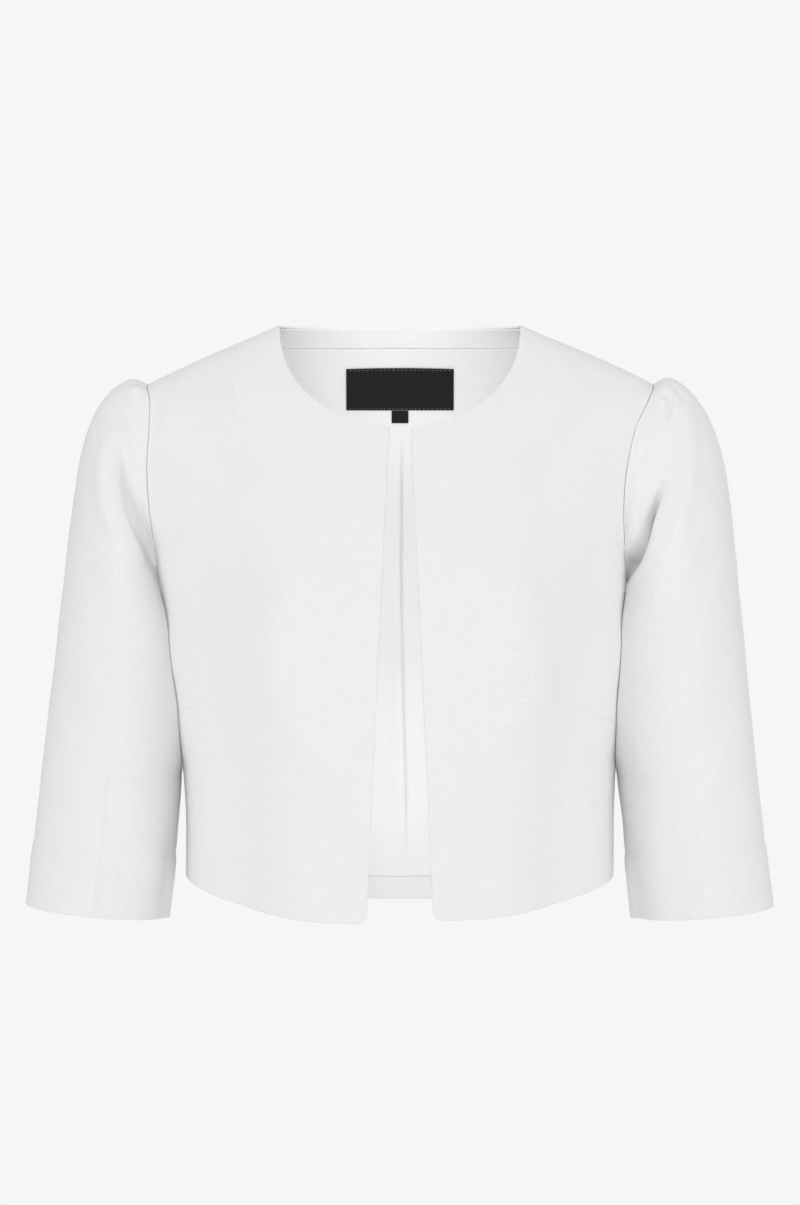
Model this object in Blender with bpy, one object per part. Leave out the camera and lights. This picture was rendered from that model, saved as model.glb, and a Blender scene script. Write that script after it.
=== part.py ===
"""A cropped bolero jacket with puffed three-quarter sleeves, filled out as if worn.

Every piece is a thin wall of cloth. The fronts and the back are cut from one body form, whose level
sections are superellipses, and the sleeves are tubes of rings that start on the armholes. Lengths are
millimetres until a mesh is made. +X is the wearer's left, -Y the front and +Z up. The origin lies
midway between the two shoulder tips, where the wearer holds the jacket up.
"""

import bmesh
import bpy
import numpy as np

MILLIMETRE = 0.001

# Cloth
SHELL_CLOTH = 1.6
LINING_CLOTH = 1.0
LABEL_CLOTH = 1.0
SEAM_GAP = 0.3
ARMHOLE_GAP = 0.5
PATCH_GAP = 0.6

# Neck and shoulders
NECK_HALF = 88.3
NECK_DROP = 78.0
NECK_ROUND = 2.1
NECK_HEIGHT = 43.7
BACK_NECK_RISE = 2.4

# Heights of the body
UNDERARM = -165.0
SIDE_HEM = -361.0
BACK_HEM = -385.0
CHEST_LEVEL = -185.0
NECK_CORNER = -35.0
FRONT_HEM = {"left": -386.0, "right": -388.5}

# Centre front edge: its distance from the middle at the neck corner, and how fast it swings out below
EDGE_AT_NECK = 7.4
EDGE_SLOPE = 0.0456
HEM_CORNER = 7.0
HEM_SWEEP = 1.1

# Body form: roundness of its level sections, and the fullness over the bust
BODY_ROUND = 2.3
BUST_OUT = 88.0
BUST_LEVEL = -178.0
BUST_WIDE = 46.0
BUST_HIGH = 62.0
BUST_FULL = 17.0

# Pieces inside the back
HEM_FACING_TOP = 0.085
NECK_FACING_BOTTOM = 2.7
LINING_SHARE = 0.98
LINING_EASE = 1.4
PLEAT_DEEP = 3.0
PLEAT_WIDE = 7.0
PLEAT_TOP = -30.0
LABEL_HALF = 40.8
LABEL_TOP = 17.2
LABEL_BOTTOM = -13.6
TAB_HALF = 6.4
TAB_HEIGHT = 9.6

# Columns: height, depth of the front, depth of the back
DEPTHS = (
    (-390.0, 99.0, 82.0),
    (-300.0, 110.0, 86.0),
    (-230.0, 117.5, 92.0),
    (-175.0, 119.0, 99.0),
    (-130.0, 112.0, 100.0),
    (-90.0, 100.0, 98.0),
    (-40.0, 77.0, 89.0),
    (0.0, 55.0, 75.0),
    (30.0, 33.0, 60.0),
    (48.0, 14.0, 49.0),
)
FRONT, BACK = 1, 2

# Columns: height, half width of the form, then how far out the armhole lies in front and behind
SIDES = {
    "left": (
        (-390.0, 157.0, 157.0, 157.0),
        (-300.0, 159.0, 159.0, 159.0),
        (-230.0, 159.8, 159.8, 159.8),
        (-195.0, 161.0, 161.0, 161.0),
        (-165.0, 164.8, 164.8, 164.8),
        (-145.0, 168.5, 163.6, 165.5),
        (-120.0, 175.0, 162.0, 167.5),
        (-90.0, 185.0, 161.0, 170.0),
        (-60.0, 198.0, 164.0, 173.0),
        (-30.0, 208.0, 172.0, 177.0),
        (-12.0, 203.5, 181.0, 181.5),
        (0.0, 185.3, 185.3, 185.3),
        (43.7, 88.3, 88.3, 88.3),
        (50.0, 74.3, 74.3, 74.3),
    ),
    "right": (
        (-390.0, 158.0, 158.0, 158.0),
        (-300.0, 159.2, 159.2, 159.2),
        (-230.0, 166.0, 166.0, 166.0),
        (-195.0, 170.6, 170.6, 170.6),
        (-165.0, 174.5, 174.5, 174.5),
        (-145.0, 179.5, 174.9, 173.5),
        (-120.0, 189.0, 177.6, 173.0),
        (-90.0, 204.0, 181.0, 174.5),
        (-60.0, 217.0, 182.4, 177.0),
        (-30.0, 219.0, 181.2, 180.0),
        (-12.0, 206.0, 181.8, 182.5),
        (0.0, 184.6, 184.6, 184.6),
        (43.7, 88.3, 88.3, 88.3),
        (50.0, 74.3, 74.3, 74.3),
    ),
}
HALF = 1
OUT = {FRONT: 2, BACK: 3}

# Rings of the sleeves. Columns: share of the length, outer point out and up, inner point out and up,
# half depth, middle of the depth. The first ring is the armhole itself.
SLEEVES = {
    "left": (
        (0.000, 185.3, 0.0, 165.6, -165.0, 54.0, 0.0),
        (0.035, 197.0, 4.6, 165.6, -166.5, 54.5, 0.0),
        (0.075, 209.0, -1.0, 165.0, -169.0, 55.5, 0.0),
        (0.120, 219.5, -12.5, 164.0, -173.0, 57.0, -1.0),
        (0.170, 228.0, -27.0, 162.6, -178.0, 58.5, -2.0),
        (0.230, 235.8, -49.0, 161.0, -185.0, 60.0, -3.0),
        (0.300, 241.5, -80.0, 159.4, -195.0, 60.5, -4.0),
        (0.400, 245.6, -120.0, 158.4, -213.0, 59.0, -5.5),
        (0.500, 249.6, -163.0, 158.0, -237.0, 56.5, -7.0),
        (0.610, 254.2, -210.0, 158.2, -265.0, 53.5, -8.5),
        (0.720, 259.0, -257.0, 159.8, -294.0, 50.5, -10.0),
        (0.830, 263.8, -304.0, 163.4, -328.0, 48.0, -11.5),
        (0.920, 268.4, -345.0, 165.6, -360.0, 46.5, -12.5),
        (1.000, 273.0, -382.0, 168.6, -391.0, 45.0, -13.5),
    ),
    "right": (
        (0.000, 184.6, 0.0, 175.3, -165.0, 54.0, 0.0),
        (0.035, 196.5, 3.6, 175.0, -166.5, 54.5, 0.0),
        (0.075, 208.0, -1.5, 174.4, -169.0, 55.5, 0.0),
        (0.120, 217.5, -11.0, 173.2, -173.0, 57.0, -1.0),
        (0.170, 226.0, -26.0, 172.0, -178.0, 58.5, -2.0),
        (0.230, 233.0, -47.0, 170.6, -185.0, 60.0, -3.0),
        (0.300, 238.5, -78.0, 169.0, -195.0, 60.5, -4.0),
        (0.400, 243.5, -119.0, 166.4, -213.0, 59.0, -5.5),
        (0.500, 248.2, -162.0, 163.4, -237.0, 56.5, -7.0),
        (0.610, 253.6, -209.0, 160.8, -265.0, 53.5, -8.5),
        (0.720, 259.4, -257.0, 160.2, -293.0, 50.5, -10.0),
        (0.830, 264.4, -304.0, 162.6, -328.0, 48.0, -11.5),
        (0.920, 269.2, -345.0, 165.2, -361.0, 46.5, -12.5),
        (1.000, 273.2, -380.5, 168.6, -391.0, 45.0, -13.5),
    ),
}
ARMHOLE_REACH = 0.36

# Roundness of the half ring next to the body. Columns: share of the length, roundness, 2 for an ellipse
INNER_ROUND = (
    (0.0, 2.9),
    (0.45, 2.9),
    (0.75, 2.0),
    (1.0, 2.0),
)
SLEEVE_CLEARANCE = 1.0
CUFF_FRONT_DROP = 1.5

# Largest folds of the sleeves. Columns: which half, height raised, half width, then the way it runs
# down the sleeve, as out and up
SLEEVE_FOLDS = {
    "left": (
        (FRONT, -9.0, 9.0, ((187.0, -70.0), (186.0, -94.0), (174.0, -124.0), (164.0, -150.0))),
        (FRONT, 4.5, 9.5, ((209.0, -30.0), (208.5, -66.0), (203.0, -96.0), (184.0, -142.0))),
        (BACK, -4.0, 10.0, ((200.0, -70.0), (190.0, -104.0), (176.0, -136.0))),
    ),
    "right": (
        (FRONT, -8.0, 9.0, ((200.0, -44.0), (201.0, -66.0), (191.0, -103.0), (179.0, -128.0))),
        (FRONT, 4.5, 9.0, ((214.0, -36.0), (214.5, -74.0), (203.0, -110.0), (184.0, -142.0))),
        (BACK, -4.5, 10.0, ((206.0, -64.0), (199.0, -96.0), (186.0, -132.0))),
    ),
}

# Rows and columns of the meshes
SIDE_ROWS = (0, HEM_FACING_TOP, 0.2, 0.31, 0.42, 0.53, 0.65, 0.77, 0.89)
ARMHOLE_ROWS = 14
SHOULDER_ROWS = (2.25, 2.5, NECK_FACING_BOTTOM, 2.85, 3)
FRONT_COLUMNS = 17
HEM_CORNER_SHARE = 0.012
BACK_COLUMNS = 28
SLEEVE_ROWS = 27

JACQUARD = (0.86, 0.86, 0.84)
SATIN = (0.82, 0.83, 0.87)
WOVEN_BLACK = (0.02, 0.019, 0.022)


def through(rows, column, at):
    """Smooth curve through one column of a table, with the first column as its parameter.

    It is a cubic Hermite curve, and the slope at each row is the one that its two neighbours give.
    """
    knots, values = np.array(rows, float)[:, [0, column]].T
    slopes = np.gradient(values, knots)
    low = np.clip(np.searchsorted(knots, at) - 1, 0, len(knots) - 2)
    step = knots[low + 1] - knots[low]
    u = (at - knots[low]) / step
    start = (2 * u**3 - 3 * u**2 + 1) * values[low] + (u**3 - 2 * u**2 + u) * step * slopes[low]
    return start + (3 * u**2 - 2 * u**3) * values[low + 1] + (u**3 - u**2) * step * slopes[low + 1]


def form(side, face, turn, height):
    """Point of the body form at a turn from the middle, 0, to the side or shoulder line, a right angle.

    A level section is a quarter superellipse: half width times a power of the turn's sine out to the
    side, depth times the same power of its cosine forward or back. The bust adds a soft swelling.
    """
    power = 2 / BODY_ROUND
    out = through(SIDES[side], HALF, height) * np.sin(turn) ** power
    deep = through(DEPTHS, face, height) * np.cos(turn) ** power
    if face == FRONT:
        spread = ((out - BUST_OUT) / BUST_WIDE) ** 2 + ((height - BUST_LEVEL) / BUST_HIGH) ** 2
        deep = deep + BUST_FULL * np.exp(-spread) * np.cos(turn) ** 2
    hand = 1 if side == "left" else -1
    way = -1 if face == FRONT else 1
    return np.stack([hand * out, way * (deep + SEAM_GAP / 2), height + 0 * out], axis=-1)


def turn_at(side, out, height):
    """Turn at which the form lies a distance out from the middle."""
    share = np.clip(out / through(SIDES[side], HALF, height), 0, 1)
    return np.arcsin(share ** (BODY_ROUND / 2))


def side_height(up):
    """Height on the side of the body: 0 to 1 up the side seam, 1 to 2 up the armhole, 2 to 3 up the
    shoulder seam to the neck. Up the armhole it goes as a cosine, so that steps round it are even."""
    seam = SIDE_HEM + (UNDERARM - SIDE_HEM) * np.clip(up, 0, 1)
    armhole = UNDERARM * (1 + np.cos(np.pi * np.clip(up - 1, 0, 1))) / 2
    return np.where(up < 1, seam, np.where(up < 2, armhole, NECK_HEIGHT * (up - 2)))


def side_turn(side, face, up):
    """Turn of the panel's outer edge: a right angle at the seams, less round the armhole."""
    height = side_height(up)
    armhole = turn_at(side, through(SIDES[side], OUT[face], height), height)
    return np.where((up > 1) & (up < 2), armhole, np.pi / 2)


def front_edge(side, up):
    """Inner edge of a front as distance out and height: straight up from the hem to the neck corner,
    then round the neckline, a superellipse about the middle of the neck's width."""
    corner = 1.5
    height = np.interp(up, (0, 1, corner), (FRONT_HEM[side], CHEST_LEVEL, NECK_CORNER))
    out = EDGE_AT_NECK + EDGE_SLOPE * (NECK_CORNER - height)
    power = 2 / NECK_ROUND
    widest = np.arccos((EDGE_AT_NECK / NECK_HALF) ** (1 / power))
    turn = widest * (np.clip(2 - up, 0, 2 - corner) / (2 - corner)) ** 1.25
    round_neck = up > corner
    out = np.where(round_neck, NECK_HALF * np.cos(turn) ** power, out)
    return out, np.where(round_neck, NECK_HEIGHT - NECK_DROP * np.sin(turn) ** power, height)


def sweep(across, up):
    """Share of the way from the middle's height to the side's, which is gentle at both ends of the hem
    and even along the shoulder."""
    gentle = across**HEM_SWEEP
    gentle = gentle**2 * (3 - 2 * gentle)
    return gentle + (across - gentle) * np.clip(up / 2, 0, 1)


def front_panel(side, across, up):
    """Outer face of a front, across from its inner edge, 0, to the side, 1, and up as side_height.

    Turn and height go from the inner edge's to the side's, so every point lies on the form. The hem's
    front corner is lifted to a quarter round.
    """
    out, height = front_edge(side, up)
    start, end = turn_at(side, out, height), side_turn(side, FRONT, up)
    turn = start + (end - start) * across
    level = height + (side_height(up) - height) * sweep(across, up)
    short = np.clip(HEM_CORNER - (np.abs(form(side, FRONT, turn, level)[..., 0]) - out), 0, HEM_CORNER)
    lift = HEM_CORNER - np.sqrt(HEM_CORNER**2 - short**2)
    return form(side, FRONT, turn, level + lift * np.clip(1 - up, 0, 1) ** 10)


def back_panel(across, up):
    """Outer face of the back, across from the wearer's right side, -1, to the left, 1, up to the neck."""
    share = np.abs(across)
    middle = np.interp(up, (0, 1, 2, 3), (BACK_HEM, CHEST_LEVEL, 0, NECK_HEIGHT))
    level = middle + (side_height(up) - middle) * sweep(share, up)
    level = level + BACK_NECK_RISE * np.clip(up - 2, 0, 1) ** 2 * (1 - share**2)
    halves = [form(side, BACK, side_turn(side, BACK, up) * share, level) for side in ("left", "right")]
    return np.where((across >= 0)[..., None], halves[0], halves[1])


def fold_share(points, way, wide):
    """How strongly a fold acts at each point, 1 on its line and falling off as a bell curve, and
    fading towards both ends. Distance is measured in the front view."""
    flat = np.stack([np.abs(points[..., 0]), points[..., 2]], axis=-1)
    way = np.array(way, float)
    runs = np.linalg.norm(np.diff(way, axis=0), axis=1)
    best = np.full(flat.shape[:-1], np.inf)
    along = np.zeros_like(best)
    for first, last, run, before in zip(way[:-1], way[1:], runs, np.cumsum(runs) - runs):
        step = (last - first) / run
        travel = np.clip((flat - first) @ step, 0, run)
        far = np.linalg.norm(flat - first - travel[..., None] * step, axis=-1)
        along = np.where(far < best, before + travel, along)
        best = np.minimum(far, best)
    fade = np.sin(np.pi * np.clip(along / runs.sum(), 0.02, 0.98)) ** 0.6
    return np.exp(-((best / wide) ** 2)) * fade


def sleeve_ellipse(side, turn, down):
    """Ring of a sleeve between its outer and inner points, with its own half depth: an ellipse, whose
    half next to the body is a fuller superellipse under the arm."""
    rows = SLEEVES[side]
    outer, outer_up, inner, inner_up, deep, middle = (through(rows, c, down) for c in range(1, 7))
    roundness = np.interp(down, *zip(*INNER_ROUND))
    power = np.where(np.cos(turn) < 0, 2 / roundness, 1.0)
    run = np.sign(np.cos(turn)) * np.abs(np.cos(turn)) ** power
    depth = deep * np.sign(np.sin(turn)) * np.abs(np.sin(turn)) ** power
    out = (outer + inner) / 2 + (outer - inner) / 2 * run
    height = (outer_up + inner_up) / 2 + (outer_up - inner_up) / 2 * run
    height = height - CUFF_FRONT_DROP * down**4 * depth / deep
    hand = 1 if side == "left" else -1
    return np.stack([hand * out, middle - depth, height], axis=-1)


def armhole(side, turn):
    """Armhole seam, from the shoulder tip, 0, down the front to the underarm and up the back."""
    up = 1 + np.abs(np.mod(turn, 2 * np.pi) - np.pi) / np.pi
    height = side_height(up)
    faces = [form(side, face, side_turn(side, face, up), height) for face in (FRONT, BACK)]
    return np.where((turn <= np.pi)[..., None], faces[0], faces[1])


def normals(points, closed=False):
    """Unit normals of a grid of points, from the cross product of its two directions."""
    if closed:
        points = np.concatenate([points[-1:], points, points[:1]])
    first, second = np.gradient(points, axis=0), np.gradient(points, axis=1)
    cross = np.cross(first, second)
    cross /= np.linalg.norm(cross, axis=-1, keepdims=True)
    return cross[1:-1] if closed else cross


def body_side(side, points):
    """How far out the body's side lies at the depth and height of each point, 0 above the underarm."""
    deep, height = points[..., 1], points[..., 2]
    depth = np.where(deep < 0, through(DEPTHS, FRONT, height), through(DEPTHS, BACK, height))
    share = np.clip(1 - np.clip(np.abs(deep) / depth, 0, 1) ** BODY_ROUND, 0, 1) ** (1 / BODY_ROUND)
    return np.where(height < UNDERARM, through(SIDES[side], HALF, height) * share, 0)


def sleeve_tube(side, turn, down):
    """Outer face of a sleeve. It starts on the armhole, a gap away, and the armhole's shape fades out
    over the head of the sleeve. The largest folds are then raised or sunk along the normals, and the
    sleeve is kept clear of the body's side, which flattens it where it hangs against the body."""
    hand = 1 if side == "left" else -1
    ring = sleeve_ellipse(side, turn, down)
    seam = armhole(side, turn) + np.array([hand * ARMHOLE_GAP, 0, 0])
    fading = np.clip(1 - down / ARMHOLE_REACH, 0, 1)[..., None] ** 2
    points = ring + (seam - sleeve_ellipse(side, turn, 0 * down)) * fading
    outward = normals(points, closed=True) * hand
    off_seam = np.clip(down / 0.05, 0, 1)
    for face, high, wide, way in SLEEVE_FOLDS[side]:
        on_face = np.clip((np.sin(turn) if face == FRONT else -np.sin(turn)) * 3, 0, 1)
        rise = high * fold_share(points, way, wide) * on_face * off_seam
        points = points + outward * rise[..., None]
    clear_of_body = np.maximum(hand * points[..., 0], body_side(side, points) + SLEEVE_CLEARANCE)
    return np.concatenate([hand * clear_of_body[..., None], points[..., 1:]], axis=-1)


def wall(name, outer, inner, colour, closed=False):
    """Object for a wall between two grids of points, with its rims. A closed grid is a tube. Every
    square is cut along the same diagonal, so that pieces which lie on each other stay parallel."""
    rows, columns = outer.shape[:2]
    index = np.arange(rows * columns).reshape(rows, columns)
    if closed:
        index = np.concatenate([index, index[:1]])
    a, b, c, d = index[:-1, :-1], index[1:, :-1], index[1:, 1:], index[:-1, 1:]
    face = np.concatenate([np.stack(corners, axis=-1).reshape(-1, 3) for corners in ((a, b, c), (a, c, d))])
    edges = [(index[:, 0], False), (index[:, -1], True)]
    if not closed:
        edges += [(index[0], True), (index[-1], False)]
    total = rows * columns
    faces = [face.tolist(), (face[:, ::-1] + total).tolist()]
    for edge, flip in edges:
        strip = np.stack([edge[:-1], edge[:-1] + total, edge[1:] + total, edge[1:]], axis=-1)
        faces.append((strip[:, ::-1] if flip else strip).tolist())
    points = np.concatenate([outer.reshape(-1, 3), inner.reshape(-1, 3)]) * MILLIMETRE
    mesh = bpy.data.meshes.new(name)
    mesh.from_pydata(points.tolist(), [], sum(faces, []))
    shell = bmesh.new()
    shell.from_mesh(mesh)
    bmesh.ops.recalc_face_normals(shell, faces=shell.faces)
    shell.to_mesh(mesh)
    shell.free()
    mesh.shade_smooth()
    mesh.materials.append(material(name, colour))
    made = bpy.data.objects.new(name, mesh)
    bpy.context.collection.objects.link(made)
    return made


def material(name, colour):
    """Plain cloth of one colour."""
    made = bpy.data.materials.new(name)
    made.use_nodes = True
    shader = made.node_tree.nodes["Principled BSDF"]
    shader.inputs["Base Color"].default_value = (*colour, 1)
    shader.inputs["Roughness"].default_value = 0.7
    shader.inputs["Metallic"].default_value = 0
    return made


def columns(count, power=1.15):
    """Shares across a panel from its inner edge, close enough near the middle to step evenly there."""
    return np.linspace(0, 1, count + 1) ** power


def both_ways(count):
    """Shares across the back, from -1 to 1."""
    half = columns(count // 2)
    return np.concatenate([-half[:0:-1], half])


def squared(outward, at_seam):
    """Normals with the front-to-back part taken out at the side and shoulder seams, so rims meet."""
    outward = np.where(at_seam[..., None], outward * np.array([1.0, 0, 1]), outward)
    return outward / np.linalg.norm(outward, axis=-1, keepdims=True)


def make_front(side):
    """A front: a grid from its inner edge to the side, and from the hem up to the shoulder seam."""
    shares = np.insert(columns(FRONT_COLUMNS), 1, HEM_CORNER_SHARE)
    across, up = np.meshgrid(shares, side_rows(), indexing="ij")
    outer = front_panel(side, across, up)
    hand = 1 if side == "left" else -1
    at_seam = (up == 2) | ((across == 1) & (up <= 1))
    outward = squared(hand * normals(outer), at_seam)
    wall("front_" + side, outer, outer - SHELL_CLOTH * outward, JACQUARD)


def side_rows():
    """Rows up the side seam and then the armhole, which the fronts, the back and the sleeves share."""
    return np.concatenate([SIDE_ROWS, np.linspace(1, 2, ARMHOLE_ROWS + 1)])


def back_grid(low=0, high=3, share=1.0):
    """Back's outer points and normals between two levels, out to a share of its width."""
    rows = np.concatenate([side_rows(), SHOULDER_ROWS])
    rows = np.concatenate([[low], rows[(rows > low) & (rows < high)], [high]])
    across, up = np.meshgrid(np.clip(both_ways(BACK_COLUMNS), -share, share), rows, indexing="ij")
    outer = back_panel(across, up)
    at_seam = (np.abs(across) == 1) & ((up <= 1) | (up >= 2))
    return outer, squared(-normals(outer), at_seam)


def make_back():
    """The back: from side seam to side seam, and from the hem up to the neckline."""
    outer, outward = back_grid()
    wall("back", outer, outer - SHELL_CLOTH * outward, JACQUARD)


def inside(name, low, high, colour, pleat=0.0):
    """A piece that lies inside the back, made from the back's points moved in past its wall, and eased
    further in towards its ends. A pleat stands in along the centre, below the label."""
    outer, outward = back_grid(low, high, LINING_SHARE)
    ease = LINING_EASE * np.abs(both_ways(BACK_COLUMNS))[:, None] ** 6
    fade = np.clip((PLEAT_TOP - outer[..., 2]) / 40, 0, 1)
    fold = pleat * fade * np.exp(-((outer[..., 0] / PLEAT_WIDE) ** 2))
    depth = (SHELL_CLOTH + SEAM_GAP + ease + fold)[..., None]
    wall(name, outer - depth * outward, outer - (depth + LINING_CLOTH) * outward, colour)


def make_back_inside():
    """Neck facing, lining with its centre pleat, and hem facing, one above the other."""
    apart = SEAM_GAP / (UNDERARM - SIDE_HEM)
    apart_above = SEAM_GAP / NECK_HEIGHT
    inside("back_hem_facing", 1.5 * apart, HEM_FACING_TOP - apart, JACQUARD)
    inside("back_lining", HEM_FACING_TOP, NECK_FACING_BOTTOM - 1.5 * apart_above, SATIN, PLEAT_DEEP)
    inside("back_neck_facing", NECK_FACING_BOTTOM, 3 - apart_above, JACQUARD)


def make_patch(name, half, top, bottom, shape):
    """A woven patch on the lining: level rows of points on the form, moved in past wall and lining."""
    out, height = np.meshgrid(np.linspace(-half, half, shape[0]), np.linspace(bottom, top, shape[1]),
                              indexing="ij")
    points = form("left", BACK, turn_at("left", np.abs(out), height), height)
    points[..., 0] = out
    depth = SHELL_CLOTH + SEAM_GAP + LINING_CLOTH + PATCH_GAP
    outward = -normals(points)
    wall(name, points - depth * outward, points - (depth + LABEL_CLOTH) * outward, WOVEN_BLACK)


def make_sleeve(side):
    """A sleeve: rings from the armhole to the cuff, one point on a ring for each row of the armhole."""
    turns = np.arange(2 * ARMHOLE_ROWS) * np.pi / ARMHOLE_ROWS
    down = np.linspace(0, 1, SLEEVE_ROWS + 1) ** 1.25
    turn, down = np.meshgrid(turns, down, indexing="ij")
    outer = sleeve_tube(side, turn, down)
    hand = 1 if side == "left" else -1
    outward = hand * normals(outer, closed=True)
    wall("sleeve_" + side, outer, outer - SHELL_CLOTH * outward, JACQUARD, closed=True)


def main():
    for old in list(bpy.data.objects):
        bpy.data.objects.remove(old, do_unlink=True)
    for side in ("left", "right"):
        make_front(side)
        make_sleeve(side)
    make_back()
    make_back_inside()
    make_patch("neck_label", LABEL_HALF, LABEL_TOP, LABEL_BOTTOM, (10, 4))
    make_patch("size_tab", TAB_HALF, LABEL_BOTTOM - SEAM_GAP, LABEL_BOTTOM - TAB_HEIGHT, (4, 3))


main()
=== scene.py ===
"""A cropped white jacquard bolero with puffed three-quarter sleeves, hollow and filled out as if worn.

Lengths are millimetres until a mesh is made. +X is the wearer's left, -Y the front and +Z up. The
origin lies midway between the shoulder tips.
"""

import bmesh
import bpy
import numpy as np
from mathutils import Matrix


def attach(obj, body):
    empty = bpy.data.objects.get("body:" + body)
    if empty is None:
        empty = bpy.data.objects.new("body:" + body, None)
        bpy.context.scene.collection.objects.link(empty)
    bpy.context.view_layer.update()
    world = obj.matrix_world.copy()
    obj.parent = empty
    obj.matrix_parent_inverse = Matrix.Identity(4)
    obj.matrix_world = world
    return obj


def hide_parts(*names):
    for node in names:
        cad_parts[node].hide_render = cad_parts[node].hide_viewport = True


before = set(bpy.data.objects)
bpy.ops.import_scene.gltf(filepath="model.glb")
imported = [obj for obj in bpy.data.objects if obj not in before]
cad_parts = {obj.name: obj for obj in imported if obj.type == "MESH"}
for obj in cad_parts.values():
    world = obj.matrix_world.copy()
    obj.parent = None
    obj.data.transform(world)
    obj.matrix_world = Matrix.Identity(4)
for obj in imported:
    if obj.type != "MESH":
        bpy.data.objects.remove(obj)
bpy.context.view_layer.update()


# Camera
# A level camera 2.6 m in front of the shoulders, at the height of the jacket's waist, with the long
# side of its picture upright.

CAMERA_BACK, CAMERA_HEIGHT = 2.6, -0.1604
SENSOR, LENS = 36.0, 105.6

lens = bpy.data.cameras.new("camera")
lens.sensor_width = SENSOR
lens.lens = LENS
camera = bpy.data.objects.new("camera", lens)
camera.location = (0, -CAMERA_BACK, CAMERA_HEIGHT)
camera.rotation_euler = (np.pi / 2, 0, 0)
bpy.context.collection.objects.link(camera)
bpy.context.scene.camera = camera
bpy.context.scene.view_settings.view_transform = "Standard"


# Studio
# A white room: even light from all round, a large soft box behind the camera, one on either side that
# shapes the sleeves, one overhead, one behind, and a small one that lights the lining from inside. The
# pale floor is 1.4 m below the shoulders.

BACKDROP, FILL = (0.921, 0.921, 0.921), 0.56
FLOOR_BELOW, FLOOR_HALF = -1.4, 4.0

world = bpy.data.worlds.new("studio")
bpy.context.scene.world = world
world.use_nodes = True
nodes, links = world.node_tree.nodes, world.node_tree.links
room = nodes["Background"]
room.inputs["Color"].default_value = (*BACKDROP, 1)
seen = nodes.new("ShaderNodeLightPath")
level = nodes.new("ShaderNodeMapRange")
level.inputs["To Min"].default_value = FILL
level.inputs["To Max"].default_value = 1.0
links.new(seen.outputs["Is Camera Ray"], level.inputs["Value"])
links.new(level.outputs["Result"], room.inputs["Strength"])

# Columns: name, place, turn about X, Y and Z in degrees, width, height, watts
SOFT_BOXES = (
    ("front_box", (-0.3, -3.4, 0.45), (79, 0, -5), 1.7, 1.5, 27.0),
    ("left_box", (2.2, -1.4, 0.1), (90, 0, 57), 0.9, 1.8, 16.5),
    ("right_box", (-2.2, -1.4, 0.1), (90, 0, -57), 0.9, 1.8, 14.3),
    ("top_box", (0.0, 0.2, 2.2), (0, 0, 0), 1.8, 1.4, 12.0),
    ("back_box", (0.4, 3.2, -0.1), (-90, 0, -7), 2.0, 1.4, 34.0),
    ("inside_box", (0.0, -0.055, -0.158), (-90, 0, 180), 0.13, 0.42, 0.145),
)
INSIDE_SPREAD = 130
for name, place, turned, wide, high, watts in SOFT_BOXES:
    light = bpy.data.lights.new(name, "AREA")
    light.shape = "RECTANGLE"
    light.size, light.size_y, light.energy = wide, high, watts
    if name == "inside_box":
        light.spread = np.radians(INSIDE_SPREAD)
    box = bpy.data.objects.new(name, light)
    box.location = place
    box.rotation_euler = np.radians(turned)
    box.visible_camera = False
    bpy.context.collection.objects.link(box)

floor_mesh = bpy.data.meshes.new("floor")
floor_mesh.from_pydata(
    [(x * FLOOR_HALF, y * FLOOR_HALF, FLOOR_BELOW) for x, y in ((-1, -1), (1, -1), (1, 1), (-1, 1))],
    [], [(0, 1, 2, 3)])
floor = bpy.data.objects.new("floor", floor_mesh)
bpy.context.collection.objects.link(floor)
paper = bpy.data.materials.new("pale floor")
paper.use_nodes = True
pale = paper.node_tree.nodes["Principled BSDF"].inputs
pale["Base Color"].default_value = (*BACKDROP, 1)
pale["Roughness"].default_value = 0.9
floor_mesh.materials.append(paper)


# Fronts
# Two panels of white jacquard, each shaped by a waist dart and a side bust dart. They are faced and
# turned, so the neckline, the front edge and the hem end in a soft roll with no stitching on top.

MILLIMETRE = 0.001
CLOTH = 1.6
SEAM_GAP = 0.06
EDGE_ROLL, SEAM_ROLL = 1.1, 0.35
NECK_HALF, NECK_DROP, NECK_ROUND, NECK_HEIGHT = 88.3, 78.0, 2.1, 43.7
UNDERARM, SIDE_HEM, CHEST_LEVEL, NECK_CORNER = -165.0, -361.0, -185.0, -35.0
FRONT_HEM = {"left": -386.0, "right": -388.5}
EDGE_AT_NECK, EDGE_SLOPE = 7.4, 0.0456
HEM_CORNER, HEM_SWEEP = 7.0, 1.1
BODY_ROUND = 2.3
BUST_OUT, BUST_LEVEL, BUST_WIDE, BUST_HIGH, BUST_FULL = 88.0, -178.0, 46.0, 62.0, 17.0
HAND = {"left": 1, "right": -1}

# The body's two faces, as columns of DEPTHS, then columns of SIDES: the half width and both armholes
FRONT, BACK = 1, 2
HALF, OUT = 1, {FRONT: 2, BACK: 3}

# Columns: height, depth of the front, depth of the back
DEPTHS = (
    (-390, 99, 82), (-300, 110, 86), (-230, 117.5, 92), (-175, 119, 99), (-130, 112, 100),
    (-90, 100, 98), (-40, 77, 89), (0, 55, 75), (30, 33, 60), (48, 14, 49),
)

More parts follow.
